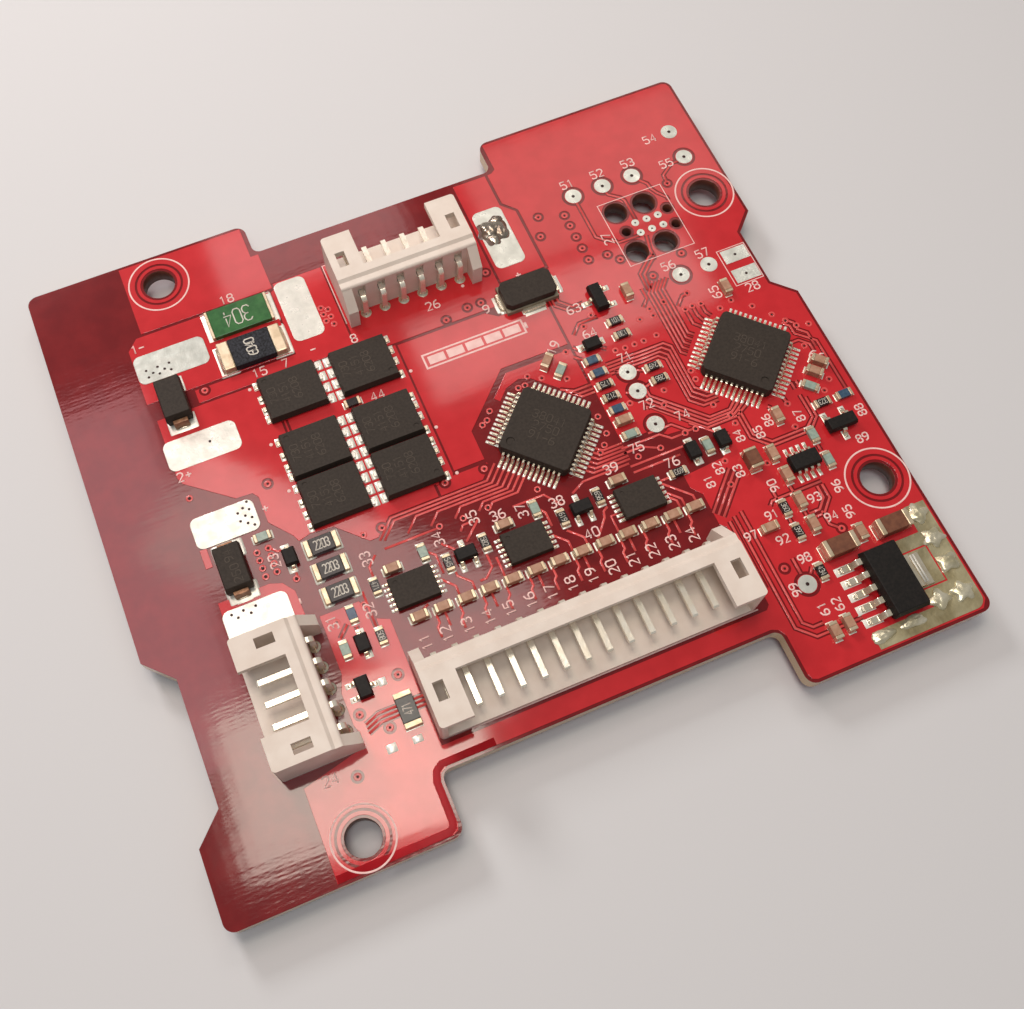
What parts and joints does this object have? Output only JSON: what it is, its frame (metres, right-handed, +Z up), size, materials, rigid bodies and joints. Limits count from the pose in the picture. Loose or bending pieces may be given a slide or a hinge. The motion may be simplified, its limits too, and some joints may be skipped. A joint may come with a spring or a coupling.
{
  "type": "battery management board",
  "caption": "Battery management circuit board with edge cut-outs, mounting holes, side-entry shrouded headers, power transistors, shunts and square controllers.",
  "frame": {"origin": "centre of the bounding box at its base, where the header contacts' tails end under the board", "axes": "+X along the longer side, with the charge header at the -X edge; +Y across the board towards the link header; +Z up, out of the component side"},
  "size_m": [0.071, 0.064, 0.008],
  "materials": {
    "laminate": "glossy red solder mask on glass-filled epoxy",
    "tin": "bright solder",
    "contact_metal": "tinned wire",
    "header_plastic": "cream nylon",
    "chip_plastic": "matt moulding compound",
    "capacitor_tan": "satin ceramic",
    "capacitor_brown": "satin ceramic",
    "resistor_black": "glossy overcoat",
    "resistor_blue": "glossy overcoat",
    "resistor_grey": "glossy overcoat",
    "shunt_green": "glossy overcoat",
    "fuse_ceramic": "matt ceramic"
  },
  "bodies": {
    "root": {"circuit_board": "laminate", "cable_pads": "tin", "test_pads": "tin", "contact_pads": "tin", "select_pads": "tin", "heat_pad": "tin", "tab_pad": "tin", "cell_header_housing": "header_plastic", "cell_header_contacts": "contact_metal", "link_header_housing": "header_plastic", "link_header_contacts": "contact_metal", "charge_header_housing": "header_plastic", "charge_header_contacts": "contact_metal", "header_solder": "tin", "power_transistors": "chip_plastic", "power_transistor_leads": "tin", "power_transistor_drains": "tin", "monitor_chip": "chip_plastic", "monitor_chip_leads": "tin", "processor_chip": "chip_plastic", "processor_chip_leads": "tin", "driver_chips": "chip_plastic", "driver_chip_leads": "tin", "bus_chip": "chip_plastic", "bus_chip_leads": "tin", "regulator": "chip_plastic", "regulator_leads": "tin", "regulator_tab": "tin", "heat_pad_solder": "tin", "film_shunt": "shunt_green", "film_shunt_ends": "tin", "metal_shunt": "resistor_black", "metal_shunt_ends": "tin", "clamp_diodes": "chip_plastic", "clamp_diode_leads": "tin", "fuse_cover": "chip_plastic", "fuse_base": "fuse_ceramic", "fuse_ends": "tin", "cell_capacitors": "capacitor_tan", "small_capacitors": "capacitor_tan", "large_capacitors": "capacitor_brown", "large_capacitor_ends": "tin", "black_resistors": "resistor_black", "blue_resistors": "resistor_blue", "grey_resistors": "resistor_grey", "thermistor": "resistor_black", "chip_ends": "tin", "power_resistors": "resistor_black", "power_resistor_ends": "tin", "small_diodes": "chip_plastic", "small_diode_leads": "tin", "small_transistors": "chip_plastic", "small_transistor_leads": "tin"}
  },
  "joints": []
}
